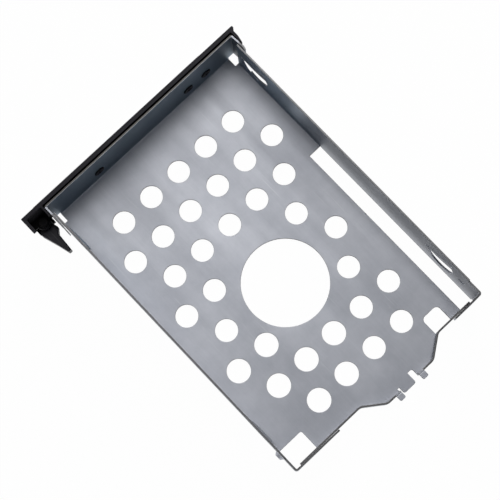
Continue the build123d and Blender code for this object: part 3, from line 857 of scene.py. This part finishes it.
@dataclass(frozen=True)
class Softbox:
    """One soft lamp, in metres and watts."""

    name: str
    place: tuple
    width: float
    depth: float
    power: float
    colour: tuple = (1.0, 1.0, 1.0)

    def build(self, aim: Vector) -> Object:
        """Hangs the lamp and turns it to the aim.

        Args:
            aim: Point that the lamp looks at.

        Returns:
            The lamp's object.
        """
        data = bpy.data.lights.new(self.name, "AREA")
        data.shape = "RECTANGLE"
        data.size = self.width
        data.size_y = self.depth
        data.energy = self.power
        data.color = self.colour
        lamp = bpy.data.objects.new(self.name, data)
        lamp.location = self.place
        lamp.rotation_euler = (aim - Vector(self.place)).to_track_quat("-Z", "Y").to_euler()
        bpy.context.scene.collection.objects.link(lamp)
        return lamp


@dataclass
class Studio:
    """Pale floor that curves up into a backdrop, soft lamps and the camera.

    Lengths are in metres, the lens and the sensor in millimetres and the camera's turn in degrees.
    """

    radius: float = 1.6
    rise: float = 0.6
    bend: float = 0.5
    flat_rings: tuple = (0.25, 0.6)
    segments: int = 72
    bend_steps: int = 8
    drop: float = 0.0002
    floor_colour: tuple = (0.86, 0.86, 0.86, 1.0)
    floor_shade: tuple = (0.8, 0.8, 0.8, 1.0)
    floor_glow: float = 0.985
    paper_scale: float = 40.0
    paper_range: tuple = (0.3, 0.7)
    paper_cover: float = 0.05
    sky: tuple = (0.50, 0.74, 1.0, 1.0)
    sky_strength: float = 0.045
    lamps: tuple = (
        Softbox("key", (-0.20, -0.20, 0.90), 0.7, 0.6, 3.2, (1.0, 0.99, 0.97)),
        Softbox("rim_light_and_shade", (-0.75, -0.75, 0.50), 0.4, 0.4, 9.0),
    )
    aim: tuple = (0.0, 0.07, 0.0)
    lens: float = 108.0
    sensor: float = 36.0
    clip: tuple = (0.05, 10.0)
    camera_place: tuple = (0.05899, 0.15384, 0.63406)
    camera_turn: tuple = (9.1844, 1.6258, 136.5852)

    def floor_material(self) -> Material:
        """Makes the floor's material: white to the camera, with the part's shadow kept in it.

        Returns:
            The material.
        """
        material = bpy.data.materials.new("pale_floor")
        material.use_nodes = True
        material.node_tree.nodes.clear()
        wiring = Wiring(material.node_tree)
        grain = wiring.noise(wiring.place(), self.paper_scale, detail=4.0)
        cover = wiring.spread(grain, self.paper_range, (0.0, self.paper_cover))
        paper = wiring.blend(cover, self.floor_colour, self.floor_shade)
        lit = wiring.add("ShaderNodeBsdfDiffuse", {"Color": paper})
        white = wiring.add("ShaderNodeEmission", {"Color": (1.0, 1.0, 1.0, 1.0), "Strength": 1.0})
        path = wiring.add("ShaderNodeLightPath")
        seen = wiring.most(path.outputs["Is Camera Ray"], path.outputs["Is Glossy Ray"],
                           path.outputs["Is Transmission Ray"])
        share = wiring.times(seen, self.floor_glow)
        both = wiring.add("ShaderNodeMixShader", {0: share, 1: lit.outputs[0], 2: white.outputs[0]})
        wiring.add("ShaderNodeOutputMaterial", {"Surface": both.outputs[0]})
        return material

    def profile(self) -> list[tuple[float, float]]:
        """Works out the backdrop's section.

        Returns:
            Distances from the middle with heights, from the floor's middle outwards.
        """
        points = [(self.radius * share, -self.drop) for share in self.flat_rings]
        flat_end = self.radius - self.bend
        for step in range(self.bend_steps + 1):
            angle = math.pi / 2 * step / self.bend_steps
            points.append((flat_end + self.bend * math.sin(angle),
                           -self.drop + self.bend * (1 - math.cos(angle))))
        points.append((self.radius, self.rise))
        return points

    def backdrop(self) -> Object:
        """Builds the floor and backdrop as one turned surface.

        Returns:
            The surface's object.
        """
        profile = self.profile()
        vertices = [(0.0, 0.0, -self.drop)]
        faces: list[tuple[int, ...]] = []
        for turn in range(self.segments):
            angle = 2 * math.pi * turn / self.segments
            vertices += [(r * math.cos(angle), r * math.sin(angle), z) for r, z in profile]
        count = len(profile)
        for turn in range(self.segments):
            here = 1 + turn * count
            there = 1 + (turn + 1) % self.segments * count
            faces.append((0, here, there))
            faces += [(here + i, here + i + 1, there + i + 1, there + i) for i in range(count - 1)]
        mesh = bpy.data.meshes.new("backdrop")
        mesh.from_pydata(vertices, [], faces)
        mesh.polygons.foreach_set("use_smooth", [True] * len(mesh.polygons))
        mesh.materials.append(self.floor_material())
        floor = bpy.data.objects.new("backdrop", mesh)
        bpy.context.scene.collection.objects.link(floor)
        return floor

    def light(self) -> None:
        """Sets the plain sky and hangs the lamps."""
        world = bpy.data.worlds.new("studio")
        world.use_nodes = True
        background = world.node_tree.nodes["Background"]
        background.inputs["Color"].default_value = self.sky
        background.inputs["Strength"].default_value = self.sky_strength
        bpy.context.scene.world = world
        for lamp in self.lamps:
            lamp.build(Vector(self.aim))

    def shoot(self) -> Object:
        """Sets the camera where the photograph was taken from.

        Returns:
            The camera's object.
        """
        data = bpy.data.cameras.new("camera")
        data.lens = self.lens
        data.sensor_width = self.sensor
        data.clip_start, data.clip_end = self.clip
        camera = bpy.data.objects.new("camera", data)
        camera.location = self.camera_place
        camera.rotation_euler = [math.radians(angle) for angle in self.camera_turn]
        bpy.context.scene.collection.objects.link(camera)
        bpy.context.scene.camera = camera
        return camera

    def build(self) -> None:
        """Builds the whole studio."""
        self.backdrop()
        self.light()
        self.shoot()
        bpy.context.scene.view_settings.view_transform = "Standard"


def main() -> None:
    """Builds the dressed caddy and its studio."""
    logging.basicConfig(level=logging.INFO, format="%(name)s: %(message)s")
    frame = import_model()
    nodes = frame["nodes"]
    effects = Effects.build()
    black = (0.008, 0.0065, 0.0115, 1.0)
    grey = (0.013, 0.011, 0.0175, 1.0)
    front = MouldedPlastic("front_black", black, grey)
    arm = MouldedPlastic("lever_black", (0.010, 0.009, 0.018, 1.0), (0.015, 0.014, 0.026, 1.0),
                         smooth=0.30, rough=0.46, pits=3400.0, depth=0.02, reach=4.0)
    cover = MouldedPlastic("cover_black", black, grey, pits=2200.0)
    button = MouldedPlastic("button_black", grey, black, pits=2400.0, edge_radius=0.2)
    parts = (
        SheetTray(ZincSheet()),
        FrontMoulding(front),
        SwingLever(arm, cover),
        ReleaseButton(button, DrawnSteel("spring_wire")),
        Fasteners(OxidedSteel("black_oxide"), OxidedSteel("pin_oxide", metal=0.1, shine=0.06, rough=0.6),
                  DrawnSteel("clip_strip", lay=Lay.ACROSS_TRAY)),
    )
    for part in parts:
        part.dress(nodes, effects)
    Studio().build()
    log.info("dressed %d solids", len(nodes))


if __name__ == "__main__":
    main()
